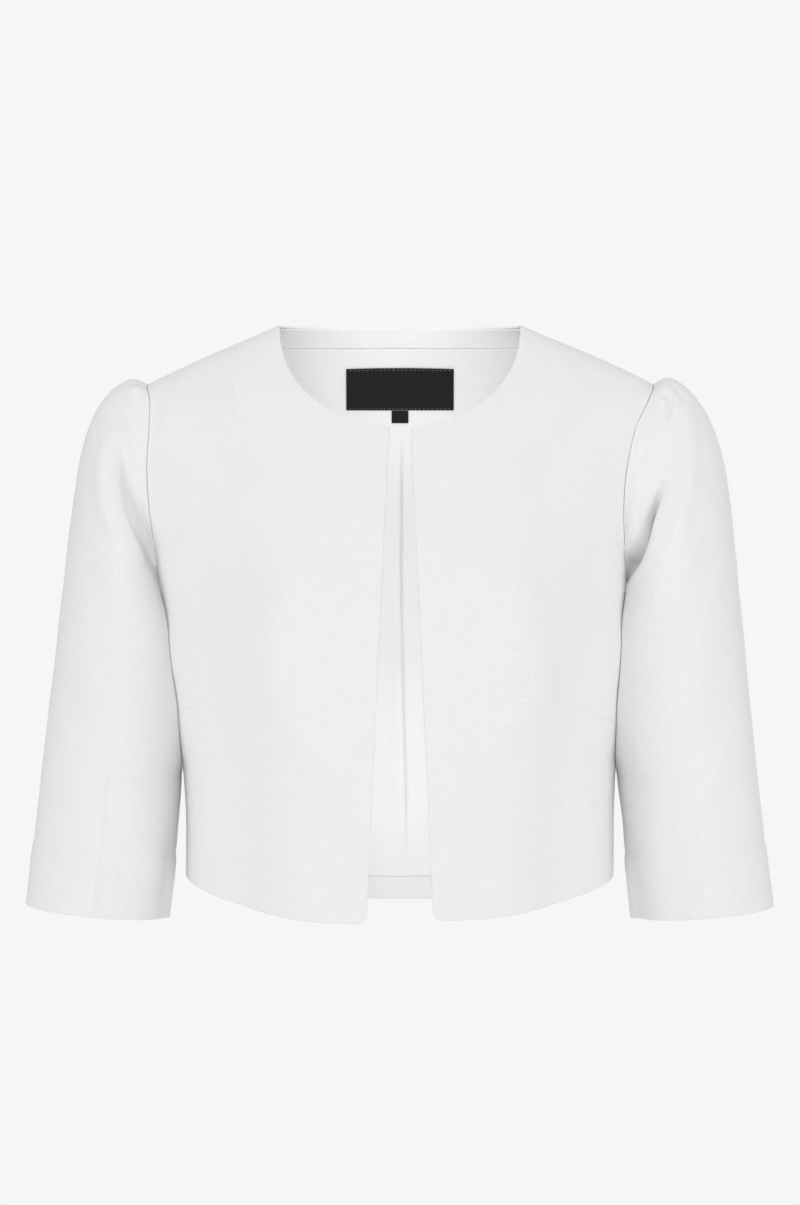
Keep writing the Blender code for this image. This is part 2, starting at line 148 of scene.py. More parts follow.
# Columns: height, half width of the form, then how far out the armhole lies in front and behind
SIDES = {
    "left": (
        (-390, 157, 157, 157),
        (-300, 157.8, 157.8, 157.8),
        (-230, 161.5, 161.5, 161.5),
        (-195, 165, 165, 165),
        (-165, 164.8, 164.8, 164.8),
        (-145, 168.5, 163.6, 165.5),
        (-120, 175, 162, 167.5),
        (-90, 185, 161, 170),
        (-60, 198, 164, 173),
        (-30, 208, 172, 177),
        (-12, 203.5, 181, 181.5),
        (0, 185.3, 185.3, 185.3),
        (43.7, 88.3, 88.3, 88.3),
        (50, 74.3, 74.3, 74.3),
    ),
    "right": (
        (-390, 158, 158, 158),
        (-300, 158, 158, 158),
        (-230, 166, 166, 166),
        (-195, 172.5, 172.5, 172.5),
        (-165, 174.5, 174.5, 174.5),
        (-145, 179.5, 174.9, 173.5),
        (-120, 189, 177.6, 173),
        (-90, 204, 181, 174.5),
        (-60, 217, 182.4, 177),
        (-30, 219, 181.2, 180),
        (-12, 206, 181.8, 182.5),
        (0, 184.6, 184.6, 184.6),
        (43.7, 88.3, 88.3, 88.3),
        (50, 74.3, 74.3, 74.3),
    ),
}

# Soft folds, pulls and hollows. Columns: height raised, half width towards the middle and away from it,
# then the way it runs down, as out and up
FRONT_FOLDS = {
    "right": (
        (-3.2, 13, 15, ((176, 4), (158, -2), (140, -7), (120, -4))),
        (2.2, 14, 16, ((150, 22), (124, 2), (104, -20), (88, -44))),
        (-3.4, 15, 15, ((170, -30), (150, -42), (128, -58), (112, -84))),
        (-1.6, 6, 6, ((178, -8), (177, -22), (176, -40))),
        (-3, 15, 14, ((160, -128), (134, -138), (110, -150), (82, -158))),
        (2, 12, 12, ((92, -120), (91, -176), (90, -226), (62, -266), (30, -318))),
        (-6.5, 22, 24, ((124, -180), (121, -260), (117, -340), (112, -460))),
        (5, 14, 14, ((170, -120), (165, -160), (161, -200), (156, -240), (152, -276))),
        (1.6, 12, 12, ((140, -250), (142, -310), (136, -364))),
        (-1.4, 14, 14, ((52, -306), (48, -340), (50, -386))),
    ),
    "left": (
        (-4.2, 15, 16, ((172, 2), (156, -4), (134, -30), (104, -60), (92, -84))),
        (2, 14, 16, ((132, 10), (110, -14), (94, -40))),
        (-2.4, 15, 14, ((158, -130), (138, -140), (118, -140))),
        (2.2, 12, 12, ((80, -118), (95, -180), (102, -226), (66, -258), (32, -288),
             (24, -334))),
        (-7, 22, 24, ((126, -180), (123, -260), (118, -340), (114, -460))),
        (6, 14, 14, ((158, -120), (155, -160), (152, -200), (150, -236), (149, -270))),
        (1.6, 12, 12, ((140, -256), (136, -304), (139, -358))),
        (-1.4, 14, 14, ((50, -300), (52, -340), (50, -384))),
    ),
}

# Darts, from their open end to their point. Columns: how strongly the seam's groove and its painted
# # crease shade show, then the way it runs
FRONT_DARTS = {
    "right": ((0.25, ((88, -384), (91, -300), (92, -240), (91, -190))),
              (1, ((162, -240), (156, -238.5), (148, -235), (136, -228)))),
    "left": ((0.25, ((91, -382), (96, -310), (98, -220), (92, -152), (82, -126))),
             (1, ((157, -247), (150, -245.5), (143, -242), (130, -236)))),
}
LINE_STEPS = 16
FRONT_COLUMNS = 118
SEAM_ROWS, ARMHOLE_ROWS = 118, 168
SEAM_LONG, ARMHOLE_LONG, FRONT_WIDE = 200, 300, 190
ROLL_ROWS = np.array([0, 0.2, 0.5, 0.9, 1.6])
RUMPLE, SLEEVE_RUMPLE, HELD_FLAT = 0.16, 0.2, 0.05
DART_FADE, DART_POINT, NO_SEAM = 0.12, 4, 50.0


def unit(value):
    """Value held between 0 and 1."""
    return np.clip(value, 0, 1)


def through(rows, column, at):
    """Smooth curve through one column of a table, with the first column as its parameter: a cubic
    Hermite curve, whose slope at each row is the one that its two neighbours give."""
    knots, values = np.array(rows, float)[:, [0, column]].T
    slopes = np.gradient(values, knots)
    low = np.clip(np.searchsorted(knots, at) - 1, 0, len(knots) - 2)
    step = knots[low + 1] - knots[low]
    u = (at - knots[low]) / step
    start = (2 * u**3 - 3 * u**2 + 1) * values[low] + (u**3 - 2 * u**2 + u) * step * slopes[low]
    return start + (3 * u**2 - 2 * u**3) * values[low + 1] + (u**3 - u**2) * step * slopes[low + 1]


def form(side, face, turn, height):
    """Point of the body form at a turn from the middle to the side: a level section is a quarter
    superellipse, half width times a power of the turn's sine by depth times that of its cosine, and
    the bust adds a soft swelling."""
    power = 2 / BODY_ROUND
    out = through(SIDES[side], HALF, height) * np.sin(turn) ** power
    deep = through(DEPTHS, face, height) * np.cos(turn) ** power
    if face == FRONT:
        spread = ((out - BUST_OUT) / BUST_WIDE) ** 2 + ((height - BUST_LEVEL) / BUST_HIGH) ** 2
        deep = deep + BUST_FULL * np.exp(-spread) * np.cos(turn) ** 2
    way = -1 if face == FRONT else 1
    return np.stack([HAND[side] * out, way * (deep + SEAM_GAP / 2), height + 0 * out], axis=-1)


def turn_at(side, out, height):
    """Turn at which the form lies a distance out from the middle."""
    share = unit(out / through(SIDES[side], HALF, height))
    return np.arcsin(share ** (BODY_ROUND / 2))


def side_height(up):
    """Height on the side of the body: 0 to 1 up the side seam, 1 to 2 up the armhole as a cosine, and
    2 to 3 up the shoulder seam to the neck."""
    seam = SIDE_HEM + (UNDERARM - SIDE_HEM) * unit(up)
    armhole = UNDERARM * (1 + np.cos(np.pi * unit(up - 1))) / 2
    return np.where(up < 1, seam, np.where(up < 2, armhole, NECK_HEIGHT * (up - 2)))


def side_turn(side, face, up):
    """Turn of a panel's outer edge: a right angle at the seams, less round the armhole."""
    height = side_height(up)
    armhole = turn_at(side, through(SIDES[side], OUT[face], height), height)
    return np.where((up > 1) & (up < 2), armhole, np.pi / 2)


def front_edge(side, up):
    """Inner edge of a front, as distance out and height: straight from the hem to the neck corner,
    then round the neckline, a superellipse about the middle of the neck's width."""
    corner = 1.5
    height = np.interp(up, (0, 1, corner), (FRONT_HEM[side], CHEST_LEVEL, NECK_CORNER))
    out = EDGE_AT_NECK + EDGE_SLOPE * (NECK_CORNER - height)
    power = 2 / NECK_ROUND
    widest = np.arccos((EDGE_AT_NECK / NECK_HALF) ** (1 / power))
    turn = widest * (np.clip(2 - up, 0, 2 - corner) / (2 - corner)) ** 1.25
    round_neck = up > corner
    out = np.where(round_neck, NECK_HALF * np.cos(turn) ** power, out)
    return out, np.where(round_neck, NECK_HEIGHT - NECK_DROP * np.sin(turn) ** power, height)


def sweep(across, up):
    """Share of the way from the middle's height to the side's: gentle at both ends of the hem and even
    along the shoulder."""
    gentle = across**HEM_SWEEP
    gentle = gentle**2 * (3 - 2 * gentle)
    return gentle + (across - gentle) * unit(up / 2)


def front_panel(side, across, up):
    """Turn and height of a front's points, from its inner edge, 0, to the side, 1. The hem's front
    corner is lifted to a quarter round."""
    out, height = front_edge(side, up)
    start, end = turn_at(side, out, height), side_turn(side, FRONT, up)
    turn = start + (end - start) * across
    raised = height + (side_height(up) - height) * sweep(across, up)
    short = np.clip(HEM_CORNER - (np.abs(form(side, FRONT, turn, raised)[..., 0]) - out), 0, HEM_CORNER)
    lift = HEM_CORNER - np.sqrt(HEM_CORNER**2 - short**2)
    return turn, raised + lift * unit(1 - up) ** 10


def along_line(points, way):
    """For each point in the front view: its distance from a smooth line through the given places,
    positive on the left of its direction, and how far along it the point lies, from 0 to 1."""
    flat = np.stack([np.abs(points[..., 0]), points[..., 2]], axis=-1)
    way = np.array(way, float)
    chords = np.concatenate([[0], np.cumsum(np.linalg.norm(np.diff(way, axis=0), axis=1))])
    rows, at = np.column_stack([chords, way]), np.linspace(0, chords[-1], LINE_STEPS + 1)
    way = np.stack([through(rows, 1, at), through(rows, 2, at)], axis=-1)
    runs = np.linalg.norm(np.diff(way, axis=0), axis=1)
    best = np.full(flat.shape[:-1], np.inf)
    side_of, along = np.zeros_like(best), np.zeros_like(best)
    for first, last, run, before in zip(way[:-1], way[1:], runs, np.cumsum(runs) - runs):
        step = (last - first) / run
        apart = flat - first
        travel = np.clip(apart @ step, 0, run)
        far = np.linalg.norm(apart - travel[..., None] * step, axis=-1)
        nearer = far < best
        side_of = np.where(nearer, np.sign(apart @ np.array([-step[1], step[0]])), side_of)
        along = np.where(nearer, before + travel, along)
        best = np.minimum(far, best)
    return best * side_of, along / runs.sum()


def relief(points, folds):
    """Height of all folds together: each is its own height times a bell curve of the distance from its
    line, with its own width on either side, and fades as a sine towards both ends."""
    total = np.zeros(points.shape[:-1])
    for high, inner, outer, way in folds:
        far, along = along_line(points, way)
        wide = np.where(far > 0, outer, inner)
        total += high * np.exp(-((far / wide) ** 2)) * np.sin(np.pi * unit(along)) ** 0.7
    return total


def rumple(points, amount):
    """Faint unevenness of worn cloth: a few long sine waves that cross at odd angles."""
    x, y, z = points[..., 0], points[..., 1], points[..., 2]
    waves = (np.sin(x / 13.0 + z / 21.0 + 0.7) * np.sin(z / 17.0 - y / 23.0 + 1.9)
             + 0.6 * np.sin(z / 9.0 + x / 31.0 + 2.6) * np.sin(x / 11.0 + y / 15.0)
             + 0.8 * np.sin(y / 19.0 - z / 33.0 + 0.4) * np.sin(x / 27.0 + 1.1))
    return amount * waves


def normals(points, closed=False):
    """Unit normals of a grid of points, from the cross product of its two directions."""
    if closed:
        points = np.concatenate([points[-1:], points, points[:1]])
    first, second = np.gradient(points, axis=0), np.gradient(points, axis=1)
    cross = np.cross(first, second)
    cross /= np.maximum(np.linalg.norm(cross, axis=-1, keepdims=True), 1e-9)
    return cross[1:-1] if closed else cross


def arc(points, axis):
    """Distance run along one direction of a grid of points, as the sum of its steps."""
    steps = np.linalg.norm(np.diff(points, axis=axis), axis=-1)
    return np.concatenate([0 * np.take(steps, [0], axis=axis), np.cumsum(steps, axis=axis)], axis=axis)


def close_to_edges(count, length):
    """Even shares of a length from 0 to 1, with four more close to either end for the rolled edge."""
    near = ROLL_ROWS / length
    inner = np.linspace(0, 1, count + 1)[1:-1]
    inner = inner[(inner > 1.2 * near[-1]) & (inner < 1 - 1.2 * near[-1])]
    return np.concatenate([near, inner, 1 - near[::-1]])


def closed_mesh(name, points, faces, marks):
    """Smooth object for a closed mesh, with its faces all turned outwards and its marks as attributes
    of the points."""
    mesh = bpy.data.meshes.new(name)
    mesh.from_pydata((points * MILLIMETRE).tolist(), [], faces)
    for mark, values in marks.items():
        layer = mesh.attributes.new(mark, "FLOAT_VECTOR", "POINT")
        layer.data.foreach_set("vector", values.ravel() * MILLIMETRE)
    shell = bmesh.new()
    shell.from_mesh(mesh)
    bmesh.ops.recalc_face_normals(shell, faces=shell.faces)
    shell.to_mesh(mesh)
    shell.free()
    mesh.shade_smooth()
    made = bpy.data.objects.new(name, mesh)
    bpy.context.collection.objects.link(made)
    return made


def cloth(name, outer, outward, thick, rolls, marks, closed=False):
    """Object for a closed wall of cloth between a grid of points and its offset inwards.

    Near an edge the wall thins as a quarter ellipse of the distance from it, so the edge is a roll, as
    wide as given for each way's start and end. The marks are attributes of the points, given once and
    laid on both faces.
    """
    far = np.ones(outer.shape[:2])
    for axis, (start, end) in zip((1,) if closed else (0, 1), rolls):
        run = arc(outer, axis)
        far = np.minimum.reduce([far, run / start, (np.take(run, [-1], axis=axis) - run) / end])
    half = thick / 2 * np.sqrt(np.clip(1 - (1 - far) ** 2, 0.03, 1))
    middle = outer - thick / 2 * outward
    faces_of = [middle + half[..., None] * outward, middle - half[..., None] * outward]
    rows, columns = outer.shape[:2]
    index = np.arange(rows * columns).reshape(rows, columns)
    if closed:
        index = np.concatenate([index, index[:1]])
    quads = np.stack([index[:-1, :-1], index[1:, :-1], index[1:, 1:], index[:-1, 1:]], axis=-1)
    quads = quads.reshape(-1, 4)
    total = rows * columns
    edges = [(index[:, 0], False), (index[:, -1], True)]
    if not closed:
        edges += [(index[0], True), (index[-1], False)]
    faces = [quads, quads[:, ::-1] + total]
    for edge, flip in edges:
        strip = np.stack([edge[:-1], edge[:-1] + total, edge[1:] + total, edge[1:]], axis=-1)
        faces.append(strip[:, ::-1] if flip else strip)
    points = np.concatenate([face.reshape(-1, 3) for face in faces_of])
    on_both = {mark: np.tile(values.reshape(-1, 3), (2, 1)) for mark, values in marks.items()}
    return closed_mesh(name, points, np.concatenate(faces).tolist(), on_both)


def on_the_cut(side, face, turn, height):
    """Place of each point on the flat cloth: the distance round its level section from the middle, and
    the distance up the middle's slope."""
    shares = np.linspace(0, 1, 15)
    around = arc(np.stack([form(side, face, turn * share, height) for share in shares]), 0)[-1]
    heights = np.linspace(-400, 60, 231)
    slope = np.stack([through(DEPTHS, face, heights), heights], axis=-1)[None]
    up = np.interp(height, heights, arc(slope, 1)[0])
    return np.stack([HAND[side] * around, up, 0 * up], axis=-1)


def add(tree, kind, values=(), **settings):
    """New node with its settings, and a value for each named input. A value may be another socket."""
    node = tree.nodes.new(kind)
    for key, value in settings.items():
        setattr(node, key, value)
    for key, value in dict(values).items():
        if isinstance(value, bpy.types.NodeSocket):
            tree.links.new(value, node.inputs[key])
        else:
            node.inputs[key].default_value = value
    return node


def maths(tree, operation, first, second=0.0):
    """Result of one sum on values or sockets."""
    return add(tree, "ShaderNodeMath", {0: first, 1: second}, operation=operation).outputs[0]


def sockets(tree, inputs, outputs):
    """Group input and output nodes, with the named number, vector or colour sockets."""
    for way, named in (("INPUT", inputs), ("OUTPUT", outputs)):
        for name, kind in named:
            tree.interface.new_socket(name, in_out=way, socket_type="NodeSocket" + kind)
    return tree.nodes.new("NodeGroupInput"), tree.nodes.new("NodeGroupOutput")


def new_material(name):
    """Material, its node tree, its shader and the place of each point on the flat cloth."""
    made = bpy.data.materials.new(name)
    made.use_nodes = True
    tree = made.node_tree
    shader = tree.nodes["Principled BSDF"]
    place = add(tree, "ShaderNodeAttribute", attribute_name="cloth").outputs["Vector"]
    return made, tree, shader, place


def link_surface(tree, shader, colour, share, rough_range, height, deep=MILLIMETRE):
    """Joins a colour, a roughness between two values by a share, and a bump to the shader."""
    low, high = rough_range
    rough = add(tree, "ShaderNodeMapRange", {"Value": share, "To Min": low, "To Max": high})
    bump = add(tree, "ShaderNodeBump", {"Height": height, "Distance": deep, "Strength": 1.0})
    for found, socket in ((colour.outputs[2], "Base Color"), (rough.outputs["Result"], "Roughness"),
                          (bump.outputs["Normal"], "Normal")):
        tree.links.new(found, shader.inputs[socket])


def contour_jacquard():
    """Tone-on-tone jacquard of fine contour lines that close round rosettes. The distance from the
    nearest rosette's middle, bent by noise, runs through a sine, so the lines ring each middle. It
    gives a band from 0 to 1, matt to satin, and a height in millimetres with the fine weave on it."""
    tree = bpy.data.node_groups.new("contour jacquard", "ShaderNodeTree")
    given, made = sockets(tree, [("Cloth", "Vector"), ("Rosette", "Float"), ("Line", "Float")],
                          [("Band", "Float"), ("Height", "Float"), ("Patch", "Float")])
    place = given.outputs["Cloth"]
    bends = add(tree, "ShaderNodeTexNoise", {"Vector": place, "Scale": 62.0, "Detail": 3.0})
    bend = add(tree, "ShaderNodeVectorMath", {0: bends.outputs["Color"], 1: (0.5, 0.5, 0.5)},
               operation="SUBTRACT")
    bend = add(tree, "ShaderNodeVectorMath", {0: bend.outputs[0], "Scale": 0.022}, operation="SCALE")
    bent = add(tree, "ShaderNodeVectorMath", {0: place, 1: bend.outputs[0]}, operation="ADD")
    rosettes = add(tree, "ShaderNodeTexVoronoi", {
        "Vector": bent.outputs[0], "Scale": maths(tree, "DIVIDE", 1.0, given.outputs["Rosette"]),
        "Smoothness": 0.25, "Randomness": 0.9}, feature="SMOOTH_F1", voronoi_dimensions="2D")
    rings = maths(tree, "MULTIPLY", rosettes.outputs["Distance"], given.outputs["Rosette"])
    rings = maths(tree, "DIVIDE", rings, given.outputs["Line"])
    rings = maths(tree, "SINE", maths(tree, "MULTIPLY", rings, 2 * np.pi))
    band = add(tree, "ShaderNodeMapRange", {"Value": rings, "From Min": -0.75, "From Max": 0.75},
               interpolation_type="SMOOTHSTEP").outputs["Result"]
    patches = add(tree, "ShaderNodeTexNoise", {"Vector": place, "Scale": 17.0, "Detail": 1.5})
    patch = add(tree, "ShaderNodeMapRange", {
        "Value": patches.outputs["Fac"], "From Min": 0.36, "From Max": 0.6, "To Min": 0.35}).outputs[0]
    split = add(tree, "ShaderNodeSeparateXYZ", {"Vector": place})
    weft = maths(tree, "SINE", maths(tree, "MULTIPLY", split.outputs["Y"], 2 * np.pi / 0.00055))
    warp = maths(tree, "SINE", maths(tree, "MULTIPLY", split.outputs["X"], 2 * np.pi / 0.00042))
    weave = maths(tree, "MULTIPLY", maths(tree, "ADD", weft, warp), 0.012)
    raised = maths(tree, "MULTIPLY", maths(tree, "MULTIPLY", band, patch), 0.07)
    tree.links.new(band, made.inputs["Band"])
    tree.links.new(maths(tree, "ADD", raised, weave), made.inputs["Height"])
    tree.links.new(patch, made.inputs["Patch"])
    return tree


def sewn_lines():
    """Crease of the dart seams: a bell curve of the distance from the line, times how far the line is
    still sewn. It gives a mask, 1 in the middle of the crease, used as painted shade in the crease,
    and a height in millimetres for its groove."""
    tree = bpy.data.node_groups.new("sewn lines", "ShaderNodeTree")
    given, made = sockets(tree, [("Distance", "Vector"), ("Sewn", "Vector"), ("Width", "Float")],
                          [("Mask", "Float"), ("Height", "Float")])
    far = add(tree, "ShaderNodeSeparateXYZ", {"Vector": given.outputs["Distance"]})
    sewn = add(tree, "ShaderNodeSeparateXYZ", {"Vector": given.outputs["Sewn"]})
    total = 0.0
    for axis in "XYZ":
        share = maths(tree, "DIVIDE", far.outputs[axis], given.outputs["Width"])
        square = maths(tree, "MULTIPLY", share, share)
        bell = maths(tree, "EXPONENT", maths(tree, "MULTIPLY", square, -1.0))
        share = maths(tree, "MULTIPLY", sewn.outputs[axis], 1000.0)
        total = maths(tree, "ADD", total, maths(tree, "MULTIPLY", bell, share))
    tree.links.new(total, made.inputs["Mask"])
    tree.links.new(maths(tree, "MULTIPLY", total, -0.2), made.inputs["Height"])
    return tree


JACQUARD, LINES = contour_jacquard(), sewn_lines()


def jacquard(name, matt, satin):
    """White jacquard: satin bands are a little smoother and lighter than the matt ground, and the
    crease of a sewn line gets painted shade."""
    made, tree, shader, place = new_material(name)
    weave = add(tree, "ShaderNodeGroup", {"Cloth": place, "Rosette": 0.030, "Line": 0.0025},
                node_tree=JACQUARD)
    far, sewn = (add(tree, "ShaderNodeAttribute", attribute_name=mark).outputs["Vector"]
                 for mark in ("seams", "sewn"))
    lines = add(tree, "ShaderNodeGroup", {"Width": 0.0006, "Distance": far, "Sewn": sewn},
                node_tree=LINES)
    band = maths(tree, "MULTIPLY", weave.outputs["Band"], weave.outputs["Patch"])
    tone = add(tree, "ShaderNodeMix", {"Factor": band, 6: (*matt, 1), 7: (*satin, 1)}, data_type="RGBA")
    # Painted shade: the crease of a sewn line is mixed towards grey
    painted_crease_shade = maths(tree, "MULTIPLY", lines.outputs["Mask"], 0.07)
    shade = add(tree, "ShaderNodeMix", {"Factor": painted_crease_shade, 6: tone.outputs[2], 7: (0.42, 0.42, 0.41, 1)},
                data_type="RGBA")
    height = maths(tree, "ADD", weave.outputs["Height"], lines.outputs["Height"])
    link_surface(tree, shader, shade, band, (0.66, 0.5), height)
    shader.inputs["Specular IOR Level"].default_value = 0.4
    shader.inputs["Sheen Weight"].default_value = 0.06
    shader.inputs["Sheen Roughness"].default_value = 0.4
    return made


def dart_marks(points, darts):
    """Signed distances from up to three dart lines, and how far each is still sewn at that point, with
    a fade over the last tenth towards its point."""
    far, sewn = np.full(points.shape, NO_SEAM), np.zeros(points.shape)
    for k, (shown, way) in enumerate(darts):
        far[..., k], along = along_line(points, way)
        beyond = np.linalg.norm(
            np.stack([np.abs(points[..., 0]), points[..., 2]], axis=-1) - np.array(way[-1]), axis=-1)
        sewn[..., k] = shown * unit((1 - along) / DART_FADE) * unit(beyond / DART_POINT)
    return {"seams": far, "sewn": sewn}


WHITE_JACQUARD = jacquard("white jacquard", (0.820, 0.820, 0.809), (0.840, 0.840, 0.830))

for side, hand in HAND.items():
    rows = np.concatenate([close_to_edges(SEAM_ROWS, SEAM_LONG)[:-4],
                           np.linspace(1, 1.5, ARMHOLE_ROWS // 2)[:-1],
                           np.linspace(1.5, 2, ARMHOLE_ROWS // 2)[:-2],
                           2 - np.array([1.2, 0.7, 0.3, 0]) / ARMHOLE_LONG])
    rows = np.unique(rows)
    across, up = np.meshgrid(close_to_edges(FRONT_COLUMNS, FRONT_WIDE), rows, indexing="ij")
    turn, height = front_panel(side, across, up)
    points = form(side, FRONT, turn, height)
    marks = dart_marks(points, FRONT_DARTS[side])
    marks["cloth"] = on_the_cut(side, FRONT, turn, height)
    outward = hand * normals(points)
    loose = unit(np.minimum(1 - across, 2 - up) / HELD_FLAT)
    raised = (relief(points, FRONT_FOLDS[side]) + rumple(points, RUMPLE)) * loose
    points = points + raised[..., None] * outward
    front = cloth("front_" + side + "_cloth", points, hand * normals(points), CLOTH,
                  ((EDGE_ROLL, SEAM_ROLL), (EDGE_ROLL, SEAM_ROLL)), marks)
    front.data.materials.append(WHITE_JACQUARD)
    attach(front, "root")
    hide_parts("front_" + side)


# Back
# One panel of the same jacquard from side seam to side seam, with two waist darts, sewn to the fronts
# at the sides and shoulders.

BACK_HEM, BACK_NECK_RISE, BACK_COLUMNS = -385.0, 2.4, 150
BACK_SEAM_ROWS, BACK_ARMHOLE_ROWS, BACK_SHOULDER_ROWS = 96, 96, 40
SHOULDER_LONG, BACK_WIDE, BACK_PATTERN_AT = 50, 230, 700.0

BACK_FOLDS = {
    "right": (
        (-2.6, 15, 16, ((96, -200), (98, -280), (94, -384))),
        (1.6, 12, 12, ((68, -200), (66, -290), (64, -382))),
        (-2.4, 14, 14, ((164, -24), (142, -66), (124, -112))),
        (1.6, 12, 14, ((150, 10), (122, -20), (104, -60))),
        (-1.8, 15, 15, ((168, -146), (142, -160), (112, -158))),
        (1.4, 14, 14, ((30, -236), (26, -300), (30, -380))),
        (-1.2, 12, 12, ((10, -60), (14, -110), (12, -170))),
    ),
    "left": (
        (-2.8, 15, 16, ((98, -190), (100, -270), (97, -384))),
        (1.5, 12, 12, ((70, -206), (69, -280), (66, -380))),
        (-2.2, 14, 14, ((160, -18), (142, -58), (118, -100))),
        (1.6, 12, 14, ((146, 6), (120, -24), (100, -56))),
        (-1.8, 15, 15, ((160, -150), (138, -158), (110, -150))),
        (1.2, 14, 14, ((34, -250), (32, -310), (35, -378))),
    ),
}
BACK_DARTS = ((0.4, ((76, -378), (80, -300), (82, -240), (80, -190))),)


def back_panel(across, up):
    """Side, turn and height of the back's points, from the wearer's right side, -1, to the left, 1."""
    share = np.abs(across)
    middle = np.interp(up, (0, 1, 2, 3), (BACK_HEM, CHEST_LEVEL, 0, NECK_HEIGHT))
    raised = middle + (side_height(up) - middle) * sweep(share, up)
    raised = raised + BACK_NECK_RISE * unit(up - 2) ** 2 * (1 - share**2)
    return {side: side_turn(side, BACK, up) * share for side in HAND}, raised


def either(across, of_side):
    """Values of the wearer's left half where across is positive, and of the right half elsewhere."""
    return np.where((across >= 0)[..., None], of_side("left"), of_side("right"))


def back_points(across, up):
    """Points and outward normals of the back with its folds, and each point's place on the cut."""
    turns, height = back_panel(across, up)
    points = either(across, lambda side: form(side, BACK, turns[side], height))
    place = either(across, lambda side: on_the_cut(side, BACK, turns[side], height))
    folds = either(across, lambda side: relief(points, BACK_FOLDS[side])[..., None])[..., 0]
    loose = unit(np.minimum(1 - np.abs(across), 3 - up) / HELD_FLAT)
    points = points - ((folds + rumple(points, RUMPLE)) * loose)[..., None] * normals(points)
    return points, -normals(points), place


def back_rows(low, high):
    """Rows of the back between two levels, close together at both ends."""
    inner = np.concatenate([np.linspace(0, 1, BACK_SEAM_ROWS), np.linspace(1, 2, BACK_ARMHOLE_ROWS),
                            np.linspace(2, 3, BACK_SHOULDER_ROWS)])
    starts = low + ROLL_ROWS / (SEAM_LONG if low < 1 else SHOULDER_LONG)
    ends = high - ROLL_ROWS[::-1] / (SEAM_LONG if high < 1 else SHOULDER_LONG)
    inner = inner[(inner > starts[-1] + 0.002) & (inner < ends[0] - 0.002)]
    return np.concatenate([starts, np.unique(inner), ends])


def both_halves(count, middle):
    """Columns from side to side, close together at both ends, with the given ones about the middle."""
    half = close_to_edges(count // 2, BACK_WIDE)[1:]
    half = half[half > middle[-1] + 0.004]
    return np.concatenate([-half[::-1], middle, half])


across, up = np.meshgrid(both_halves(BACK_COLUMNS, [0.0]), back_rows(0, 3), indexing="ij")
points, outward, place = back_points(across, up)
marks = dart_marks(points, BACK_DARTS)
marks["cloth"] = place + BACK_PATTERN_AT
back = cloth("back_cloth", points, outward, CLOTH,
             ((SEAM_ROLL, SEAM_ROLL), (EDGE_ROLL, EDGE_ROLL)), marks)
back.data.materials.append(WHITE_JACQUARD)
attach(back, "root")
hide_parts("back")


# Sleeves
# Set-in three-quarter sleeves of the same jacquard, eased into a small puff with a tuck at the head,
# and turned up 47 mm at the cuff. They hang against the body's sides.

ARMHOLE_GAP, ARMHOLE_REACH = 0.1, 0.36
SLEEVE_CLEARANCE, CUFF_FRONT_DROP = 0.6, 1.5
TURN_UP, TURN_UP_STEP = 47.0, 0.45
SLEEVE_AROUND, HEAD_ROWS, LOWER_ROWS, HEAD_SHARE = 186, 130, 122, 0.34
CLOSER_AT, CLOSER = 1.3, 0.38
HUG, HUG_STARTS, HUG_ENDS, HUG_RAMP, ARMPIT_IN = 15.0, 34.0, -285.0, 50.0, 0.07
RING_RADIUS, SLEEVE_LONG, SLEEVE_PATTERN_AT = 54.0, 395, 1500.0

# Rings of the sleeves. Columns: share of the length, outer point out and up, inner point out and up,
# half depth, middle of the depth. The first ring is the armhole itself.
SLEEVES = {
    "left": (
        (0.0, 185.3, 0, 165.6, -165, 54, 0),
        (0.035, 197, 4.6, 165.6, -166.5, 54.5, 0),
        (0.075, 209, -1, 165, -169, 55.5, 0),
        (0.12, 219.5, -12.5, 164, -173, 57, -1),
        (0.17, 228, -27, 162.6, -178, 58.5, -2),
        (0.23, 235.8, -49, 161, -185, 60, -3),
        (0.3, 241.5, -80, 159.4, -195, 60.5, -4),
        (0.4, 245.6, -120, 158.4, -213, 59, -5.5),
        (0.5, 249.6, -163, 158, -237, 56.5, -7),
        (0.61, 254.2, -210, 158.2, -265, 53.5, -8.5),
        (0.72, 259, -257, 159.8, -294, 50.5, -10),
        (0.83, 263.8, -304, 163.4, -328, 48, -11.5),
        (0.92, 268.4, -345, 165.6, -360, 46.5, -12.5),
        (1.0, 273, -382, 168.6, -391, 45, -13.5),
    ),
    "right": (
        (0.0, 184.6, 0, 175.3, -165, 54, 0),
        (0.035, 196.5, 3.6, 175, -166.5, 54.5, 0),
        (0.075, 208, -1.5, 174.4, -169, 55.5, 0),
        (0.12, 217.5, -11, 173.2, -173, 57, -1),
        (0.17, 226, -26, 172, -178, 58.5, -2),
        (0.23, 233, -47, 170.6, -185, 60, -3),
        (0.3, 238.5, -78, 169, -195, 60.5, -4),
        (0.4, 243.5, -119, 166.4, -213, 59, -5.5),
        (0.5, 248.2, -162, 163.4, -237, 56.5, -7),
        (0.61, 253.6, -209, 160.8, -265, 53.5, -8.5),
        (0.72, 259.4, -257, 160.2, -293, 50.5, -10),
        (0.83, 264.4, -304, 162.6, -328, 48, -11.5),
        (0.92, 269.2, -345, 165.2, -361, 46.5, -12.5),
        (1.0, 273.2, -380.5, 168.6, -391, 45, -13.5),
    ),
}

# Roundness of the half ring next to the body. Columns: share of the length, roundness, 2 for an ellipse
INNER_ROUND = (
    (0, 2.8), (0.38, 2.8), (0.58, 2), (0.8, 1.75), (1, 1.7),
)

